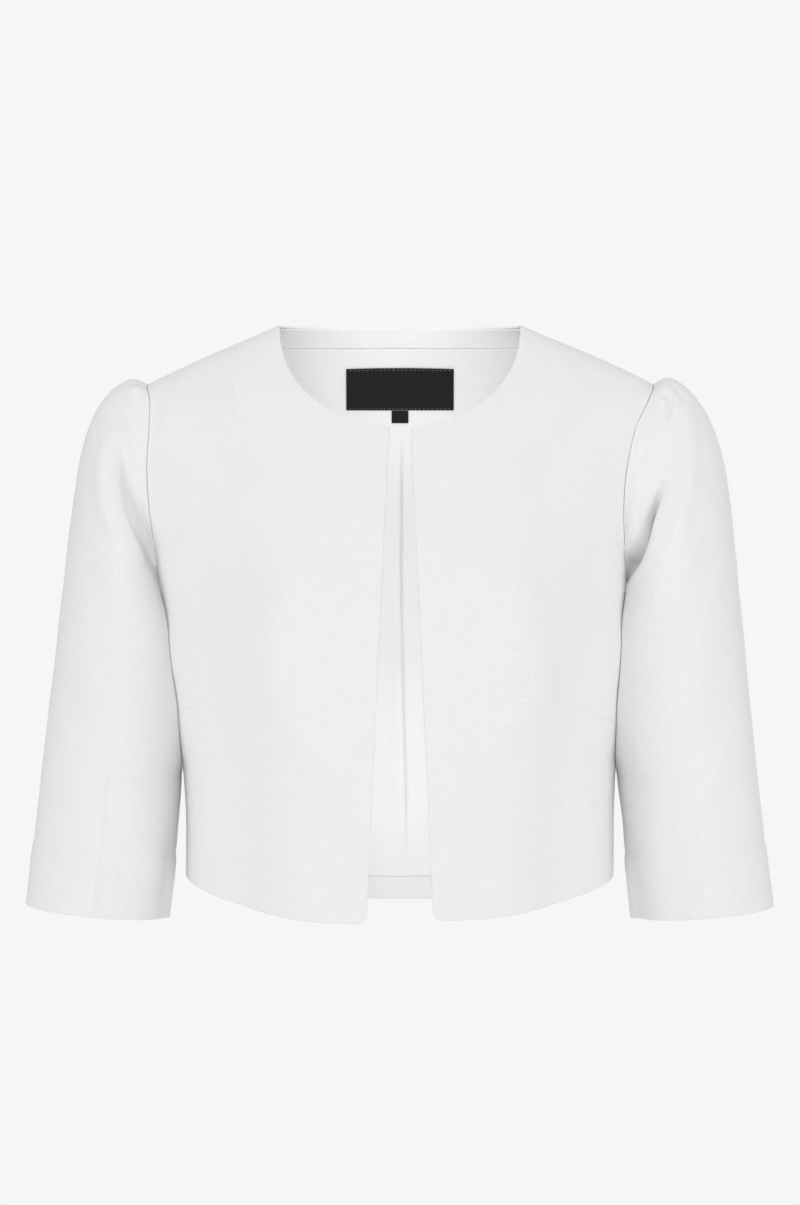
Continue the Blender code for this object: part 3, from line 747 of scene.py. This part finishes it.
# Folds of the sleeves, the head's tucks last. Columns: which half, height raised, how far its outer lip
# hangs over it, half width towards the body and away from it, then the way it runs down the sleeve, as
# out and up
SLEEVE_FOLDS = {
    "right": (
        (FRONT, -9.5, 3, 6.5, 7, ((199, -38), (202, -60), (197.7, -83), (189.5, -104), (181.8, -117),
             (174, -136))),
        (FRONT, 4, 0, 9, 6, ((212, -34), (214.5, -60), (214, -78), (209.5, -98), (199, -116),
             (186, -134))),
        (FRONT, -2.6, 0, 3, 2.6, ((196, -50), (189, -75), (184.7, -89), (180, -106))),
        (FRONT, 1.6, 0, 3.2, 3, ((194, -56), (190, -74), (184.5, -92))),
        (FRONT, -2, 0, 9, 10, ((224, -38), (212, -34), (198, -28))),
        (FRONT, -1.8, 0, 9, 9, ((228, -118), (214, -160), (196, -196))),
        (FRONT, -1.6, 0, 12, 12, ((250, -200), (232, -240), (214, -262))),
        (FRONT, 1.4, 0, 11, 11, ((212, -290), (216, -336), (220, -384))),
        (FRONT, -4, 0, 6, 9, ((164, -326), (166, -356), (167, -384), (167, -440))),
        (BACK, -4.5, 0, 10, 10, ((206, -64), (199, -96), (186, -132))),
        (BACK, -2.4, 0, 8, 8, ((196, -40), (190, -70), (183, -100))),
        (BACK, 2.4, 0, 11, 11, ((220, -60), (216, -96), (204, -140))),
        (BACK, -1.8, 0, 12, 12, ((236, -180), (214, -220), (194, -244))),
        (FRONT, 1.5, 0, 1.8, 1.8, ((198, -7.5), (191, -5), (181, -7))),
        (FRONT, -1.8, 0, 1.8, 1.8, ((199, -2), (192, 0.5), (181, -3))),
        (FRONT, -0.8, 0, 2.2, 2.2, ((206, -20), (200, -12), (192, -10))),
        (BACK, -1.6, 0, 3.2, 3.2, ((184, -8), (192, -6), (200, -10))),
    ),
    "left": (
        (FRONT, -17, 6, 6, 4.2, ((190, -74), (186, -88), (182.5, -102), (179, -117),
             (172.5, -130), (164, -144), (160.5, -160))),
        (FRONT, 4, 0, 9, 6.5, ((208, -10), (209, -64), (206, -86), (199, -108), (190, -128),
             (182, -146))),
        (FRONT, 2.4, 0, 5, 5, ((176, -50), (171, -80), (167, -104), (165, -120))),
        (FRONT, -1.8, 0, 9, 9, ((230, -108), (212, -150), (192, -184))),
        (FRONT, -1.6, 0, 12, 12, ((246, -220), (228, -254), (206, -270))),
        (FRONT, 1.4, 0, 11, 11, ((216, -290), (214, -330), (218, -384))),
        (FRONT, -4, 0, 6, 10, ((166, -326), (168, -356), (169, -384), (169, -440))),
        (BACK, -4, 0, 10, 10, ((200, -70), (190, -104), (176, -136))),
        (BACK, 2.6, 0, 10, 10, ((214, -80), (206, -116), (194, -150))),
        (BACK, -1.8, 0, 12, 12, ((238, -170), (214, -214), (190, -240))),
        (FRONT, -2.2, 0, 2.2, 1.8, ((188, -8), (193, -8.6), (196.4, -13), (196.4, -21), (193, -32))),
        (FRONT, -1.5, 0, 2, 2, ((194, 1), (203, -6.5), (208.5, -17))),
        (FRONT, 1.2, 0, 2.4, 2.2, ((186, -13), (190.5, -14), (191.5, -24))),
        (FRONT, -2.4, 0, 1.4, 2.2, ((184, -5), (176.5, -22), (169.5, -38), (165.4, -55), (163.6, -76))),
        (BACK, -1.6, 0, 3.2, 3.2, ((184, -10), (192, -8), (199, -14))),
    ),
}


def sleeve_ellipse(side, turn, down):
    """Ring of a sleeve between its outer and inner points, with its own half depth: an ellipse, whose
    half next to the body is a superellipse, fuller under the arm and sharper at the cuff."""
    rows = SLEEVES[side]
    outer, outer_up, inner, inner_up, deep, middle = (through(rows, c, down) for c in range(1, 7))
    roundness = np.interp(down, *zip(*INNER_ROUND))
    power = np.where(np.cos(turn) < 0, 2 / roundness, 1.0)
    run = np.sign(np.cos(turn)) * np.abs(np.cos(turn)) ** power
    depth = deep * np.sign(np.sin(turn)) * np.abs(np.sin(turn)) ** power
    out = (outer + inner) / 2 + (outer - inner) / 2 * run
    height = (outer_up + inner_up) / 2 + (outer_up - inner_up) / 2 * run
    height = height - CUFF_FRONT_DROP * down**4 * depth / deep
    return np.stack([HAND[side] * out, middle - depth, height], axis=-1)


def armhole(side, turn):
    """Armhole seam, from the shoulder tip, 0, down the front to the underarm and up the back."""
    turn = np.mod(turn, 2 * np.pi)
    up = 1 + np.abs(turn - np.pi) / np.pi
    height = side_height(up)
    faces = [form(side, face, side_turn(side, face, up), height) for face in (FRONT, BACK)]
    return np.where((turn <= np.pi)[..., None], faces[0], faces[1])


def body_side(side, points):
    """How far out the body's side lies at the depth and height of each point, with its folds, each
    divided by how far the wall faces out. It is drawn in a little round the armpit and 0 above it."""
    deep, height = points[..., 1], points[..., 2]
    depth = np.where(deep < 0, through(DEPTHS, FRONT, height), through(DEPTHS, BACK, height))
    back_share = unit(np.abs(deep) / depth)
    share = unit(1 - back_share**BODY_ROUND) ** (1 / BODY_ROUND)
    half = through(SIDES[side], HALF, height)
    slope_out, slope_deep = share ** (BODY_ROUND - 1) / half, back_share ** (BODY_ROUND - 1) / depth
    facing = slope_out / np.maximum(np.hypot(slope_out, slope_deep), 1e-9)
    wall = np.stack([half * share, deep, height], axis=-1)
    folds = np.where(deep < 0, relief(wall, FRONT_FOLDS[side]), relief(wall, BACK_FOLDS[side]))
    above = (height - UNDERARM) / HUG_STARTS
    share = share * (1 - ARMPIT_IN * unit(1.5 * above - 0.5))
    return np.where(above < 1, half * share + folds / np.maximum(facing, 0.3), 0)


def sleeve_tube(side, turn, down):
    """Outer face of a sleeve: its rings, with the armhole's shape fading out over the head, then the
    folds, the head's ripples and the turn-up raised or sunk along the normals, and the deepest folds'
    lips hung over them. Below the underarm the sleeve presses on the body's side and takes its shape."""
    hand = HAND[side]
    ring = sleeve_ellipse(side, turn, down)
    seam = armhole(side, turn) + np.array([hand * ARMHOLE_GAP, 0, 0])
    fading = unit(1 - down / ARMHOLE_REACH)[..., None] ** 2
    points = ring + (seam - sleeve_ellipse(side, turn, 0 * down)) * fading
    outward = normals(points, closed=True) * hand
    off_seam = unit(down / 0.02) ** 1.5
    rise = rumple(points, SLEEVE_RUMPLE) * unit(down / 0.1)
    over = np.zeros_like(points)
    for face, high, lip, inner, outer, way in SLEEVE_FOLDS[side]:
        on_face = unit((np.sin(turn) if face == FRONT else -np.sin(turn)) * 3)
        rise = rise + relief(points, ((high, inner, outer, way),)) * on_face * off_seam
        if lip:
            far, along = along_line(points, way)
            hangs = lip * np.exp(-(((far - outer) / outer) ** 2)) * np.sin(np.pi * along) * on_face
            over = over + hangs[..., None] * np.array([-0.94 * hand, 0, 0.33])
    head = np.exp(-((down / 0.05) ** 2)) * unit(np.cos(turn) * 1.6) * off_seam
    rise = rise + 0.5 * head * np.sin(turn * 17 + np.sin(turn * 5))
    left = arc(points, 1)
    left = left[:, -1:] - left
    rise = rise + TURN_UP_STEP * unit((TURN_UP - left) / 2.5)
    rise = rise - 0.5 * np.exp(-(((left - TURN_UP - 2.0) / 3.0) ** 2))
    points = points + outward * rise[..., None] + over
    height = points[..., 2]
    hug = unit((UNDERARM + HUG_STARTS - height) / HUG_RAMP) * unit((height - HUG_ENDS) / HUG_RAMP)
    hug = hug * HUG * unit(-np.cos(turn)) ** 0.6 * off_seam
    clear_of_body = np.maximum(hand * points[..., 0] - hug, body_side(side, points) + SLEEVE_CLEARANCE)
    return np.concatenate([hand * clear_of_body[..., None], points[..., 1:]], axis=-1)


for side, hand in HAND.items():
    even = np.linspace(0, 2 * np.pi, SLEEVE_AROUND)
    evened = CLOSER * (np.sin(even + np.pi - CLOSER_AT) - np.sin(np.pi - CLOSER_AT))
    around = np.pi + even - evened + 0.003 * (1 - even / np.pi)
    near = ROLL_ROWS / SLEEVE_LONG
    rows = np.concatenate([near, np.linspace(0.006, HEAD_SHARE, HEAD_ROWS),
                           np.linspace(HEAD_SHARE, 0.994, LOWER_ROWS), 1 - near[::-1]])
    turn, down = np.meshgrid(around, np.unique(rows), indexing="ij")
    points = sleeve_tube(side, turn, down)
    run = arc(points, 1)
    flat_around = (turn - 2 * np.pi) * RING_RADIUS
    marks = dart_marks(points, ())
    marks["cloth"] = np.stack([flat_around + SLEEVE_PATTERN_AT * hand, -run, 0 * run], axis=-1)
    # The underarm seam gets the same painted crease shade and groove as the darts
    marks["seams"][..., 0] = np.pi * RING_RADIUS - np.abs(flat_around)
    marks["sewn"][..., 0] = 1.0
    sleeve = cloth("sleeve_" + side + "_cloth", points, hand * normals(points, closed=True), CLOTH,
                   ((SEAM_ROLL, EDGE_ROLL),), marks, closed=True)
    sleeve.data.materials.append(WHITE_JACQUARD)
    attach(sleeve, "root")
    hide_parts("sleeve_" + side)


# Inside of the back
# A strip of jacquard faces the back neck and another is turned up at the hem. Between them hangs the
# bluish white satin lining, with an ease pleat down its centre.

LINING_CLOTH, LAYER_GAP, FACING_ROLL, INSIDE_PATTERN_AT = 1.0, 0.3, 0.35, 900.0
HEM_FACING_TOP, NECK_FACING_BOTTOM = 0.085, 2.7
LINING_SHARE, LINING_EASE = 0.98, 1.4
PLEAT_DEEP, PLEAT_TOP, PLEAT_BOTTOM, PLEAT_SWELL = 2.0, -30.0, -352.0, 0.3
LINING_COLUMNS, PLEAT_COLUMNS = 72, np.linspace(-0.024, 0.024, 49)

# The pleat's section, laid over to the wearer's right. Columns: place across from its edge, share of its
# depth
PLEAT = (
    (-22, 0), (-14, 0.25), (-5.5, 0.85), (-1.6, 1), (-0.4, 0.85), (1, 0.12), (2.6, -0.06),
    (7, 0.06), (14, 0),
)

# How far to the wearer's left the pleat's edge lies. Columns: height, distance
PLEAT_WANDERS = (
    (-345, 4.4), (-300, 4.2), (-231, 2.2), (-130, 0.2), (-80, 0.6), (-38, 1.2),
)

LINING_CUT, LINING_AREA = (0.470, 0.400), 0.150
HEM_FACING_CUT, HEM_FACING_AREA = (0.400, 0.030), 0.0068
NECK_FACING_CUT, NECK_FACING_AREA = (0.245, 0.030), 0.0054


def inside(low, high, pleat=0.0):
    """Grid inside the back, moved in past its wall and eased further in towards the sides. The pleat's
    section, with a low swell beside it, stands in along its wandering edge."""
    columns = both_halves(LINING_COLUMNS, PLEAT_COLUMNS)
    across, up = np.meshgrid(columns * LINING_SHARE, back_rows(low, high), indexing="ij")
    points, outward, place = back_points(across, up)
    ease = LINING_EASE * np.abs(columns)[:, None] ** 6 * (1 - 0.7 * unit((up - 2.6) / 0.1))
    x, z = points[..., 0], points[..., 2]
    fade = unit((PLEAT_TOP - z) / 40) * unit((z - PLEAT_BOTTOM) / 40)
    edge = x - np.interp(z, *zip(*PLEAT_WANDERS))
    lies = np.interp(edge, *zip(*PLEAT)) + PLEAT_SWELL * np.exp(-(((x + 22) / 9) ** 2))
    fold = pleat * fade * lies
    depth = (CLOTH + LAYER_GAP + ease + fold)[..., None]
    marks = dart_marks(points, ())
    marks["cloth"] = place - INSIDE_PATTERN_AT
    return points - depth * outward, outward, marks


def satin():
    """Bluish white lining satin: smooth, with very fine ribs across and a faint unevenness of tone."""
    made, tree, shader, place = new_material("lining satin")
    split = add(tree, "ShaderNodeSeparateXYZ", {"Vector": place})
    rib = maths(tree, "SINE", maths(tree, "MULTIPLY", split.outputs["Y"], 2 * np.pi / 0.0004))
    cloudy = add(tree, "ShaderNodeTexNoise", {"Vector": place, "Scale": 26.0, "Detail": 3.0})
    tone = add(tree, "ShaderNodeMix", {"Factor": cloudy.outputs["Fac"], 6: (0.785, 0.789, 0.806, 1),
                                       7: (0.825, 0.829, 0.846, 1)}, data_type="RGBA")
    creases = add(tree, "ShaderNodeTexNoise", {"Vector": place, "Scale": 48.0, "Detail": 2.0})
    height = maths(tree, "ADD", maths(tree, "MULTIPLY", rib, 0.006),
                   maths(tree, "MULTIPLY", creases.outputs["Fac"], 0.5))
    link_surface(tree, shader, tone, cloudy.outputs["Fac"], (0.3, 0.42), height)
    return made


# Columns: node, bottom, top, pleat's depth, material, slot, flat cut, its area
apart, apart_above = 0.3 / (UNDERARM - SIDE_HEM), 0.3 / NECK_HEIGHT
INSIDE_PIECES = (
    ("back_hem_facing", 1.5 * apart, HEM_FACING_TOP - 0.3 * apart, 0.0, WHITE_JACQUARD, "jacquard",
     HEM_FACING_CUT, HEM_FACING_AREA),
    ("back_lining", HEM_FACING_TOP, NECK_FACING_BOTTOM - 0.8 * apart_above, PLEAT_DEEP, satin(),
     "satin_lining", LINING_CUT, LINING_AREA),
    ("back_neck_facing", NECK_FACING_BOTTOM, 3 - apart_above, 0.0, WHITE_JACQUARD, "jacquard",
     NECK_FACING_CUT, NECK_FACING_AREA),
)
for node, low, high, pleat, finish, slot, cut, area in INSIDE_PIECES:
    points, outward, marks = inside(low, high, pleat)
    piece = cloth(node + "_cloth", points, outward, LINING_CLOTH,
                  ((FACING_ROLL, FACING_ROLL),) * 2, marks)
    piece.data.materials.append(finish)
    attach(piece, "root")
    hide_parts(node)


# Neck label and size tab
# A bare black woven label, sewn to the lining along its long edges with small pale stitches, and a
# small tab of the same tape that is caught under its bottom edge.

LABEL_CLOTH, PATCH_GAP, TAPE_ROLL = 0.8, 0.6, 0.5
LABEL_HALF, LABEL_TOP, LABEL_BOTTOM = 40.8, 17.2, -13.6
TAB_HALF, TAB_HEIGHT, LABEL_ARCH = 6.4, 9.6, 0.7
STITCHES, STITCH_LONG, STITCH_THICK, STITCH_IN = 24, 1.9, 0.34, 1.2
STITCH_RINGS, RING_POINTS = 7, 6


def patch_points(out, height, lift=0.0):
    """Points of a patch on the lining: on the form, moved in past the wall, the lining and a gap."""
    points = form("left", BACK, turn_at("left", np.abs(out), height), height)
    points[..., 0] = out
    outward = -normals(points)
    return points - (CLOTH + LAYER_GAP + LINING_CLOTH + PATCH_GAP + lift) * outward, outward


def woven(name, thread, ribs):
    """Black woven tape: fine ribs along it, matt, with a faint speck of lighter thread."""
    made, tree, shader, place = new_material(name)
    split = add(tree, "ShaderNodeSeparateXYZ", {"Vector": place})
    across = maths(tree, "SINE", maths(tree, "MULTIPLY", split.outputs["X"], 2 * np.pi / ribs))
    along = maths(tree, "SINE", maths(tree, "MULTIPLY", split.outputs["Y"], 2 * np.pi / ribs))
    weave = maths(tree, "MULTIPLY", across, along)
    specks = add(tree, "ShaderNodeTexNoise", {"Vector": place, "Scale": 900.0, "Detail": 2.0})
    light = maths(tree, "ADD", maths(tree, "MULTIPLY", weave, 0.22), specks.outputs["Fac"])
    dull, bright = ((*[part * value for value in thread], 1) for part in (0.6, 1.5))
    tone = add(tree, "ShaderNodeMix", {"Factor": light, 6: dull, 7: bright}, data_type="RGBA")
    link_surface(tree, shader, tone, specks.outputs["Fac"], (0.55, 0.8), weave, 0.00008)
    shader.inputs["Specular IOR Level"].default_value = 0.2
    return made


BLACK_TAPE = woven("black woven tape", (0.011, 0.0105, 0.012), 0.0006)
for node, half, top, bottom, arch in (
        ("neck_label", LABEL_HALF, LABEL_TOP, LABEL_BOTTOM, LABEL_ARCH),
        ("size_tab", TAB_HALF, LABEL_BOTTOM - 0.3, LABEL_BOTTOM - TAB_HEIGHT, 0.0)):
    shares = close_to_edges(int(half), 2 * half) * 2 - 1
    out, up = np.meshgrid(shares * half, close_to_edges(int(top - bottom), top - bottom), indexing="ij")
    height = bottom + (top - bottom + arch * (1 - (out / half) ** 2)) * up
    points, outward = patch_points(out, height)
    marks = {"cloth": np.stack([out, height, 0 * out], axis=-1)}
    patch = cloth(node + "_tape", points, outward, LABEL_CLOTH, ((TAPE_ROLL, TAPE_ROLL),) * 2, marks)
    patch.data.materials.append(BLACK_TAPE)
    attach(patch, "root")
    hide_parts(node)

# Each stitch is a short thread, a ring of six points carried along a flat half sine and closed by its
# pinched ends
middles = np.linspace(-LABEL_HALF + 3, LABEL_HALF - 3, STITCHES)
along = np.linspace(-1, 1, STITCH_RINGS)
ring = np.arange(RING_POINTS) * 2 * np.pi / RING_POINTS
thread = []
for level_up in (LABEL_TOP - STITCH_IN, LABEL_BOTTOM + STITCH_IN):
    out, height = np.meshgrid(middles, [level_up, level_up + 1.0], indexing="ij")
    height = height + LABEL_ARCH * (1 - (out / LABEL_HALF) ** 2) * (level_up > 0)
    seats, outward = patch_points(out, height, LABEL_CLOTH)
    thread.append((seats[:, 0], outward[:, 0]))
seats, outward = (np.concatenate(part) for part in zip(*thread))
slant = 0.12 * np.sin(np.arange(len(seats)) * 2.4)
radius = STITCH_THICK / 2 * np.sqrt(1 - along**2 * 0.96)
x = seats[:, 0, None, None] + STITCH_LONG / 2 * along[None, :, None] + 0 * ring
y = seats[:, 1, None, None] - radius[:, None] * (np.cos(ring) + 0.6)
z = seats[:, 2, None, None] + radius[:, None] * np.sin(ring) + (slant[:, None] * along)[..., None]
rings = np.stack([x, y + 0 * x, z], axis=-1)
index = np.arange(rings.size // 3).reshape(rings.shape[:3])
ahead = np.roll(index, -1, axis=2)
sides = np.stack([index[:, :-1], index[:, 1:], ahead[:, 1:], ahead[:, :-1]], axis=-1).reshape(-1, 4)
faces = sides.tolist() + index[:, 0, ::-1].tolist() + index[:, -1].tolist()
stitches = closed_mesh("label_stitches", rings.reshape(-1, 3), faces, {"cloth": rings})
stitches.data.materials.append(woven("pale sewing thread", (0.33, 0.33, 0.33), 0.0003))
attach(stitches, "root")
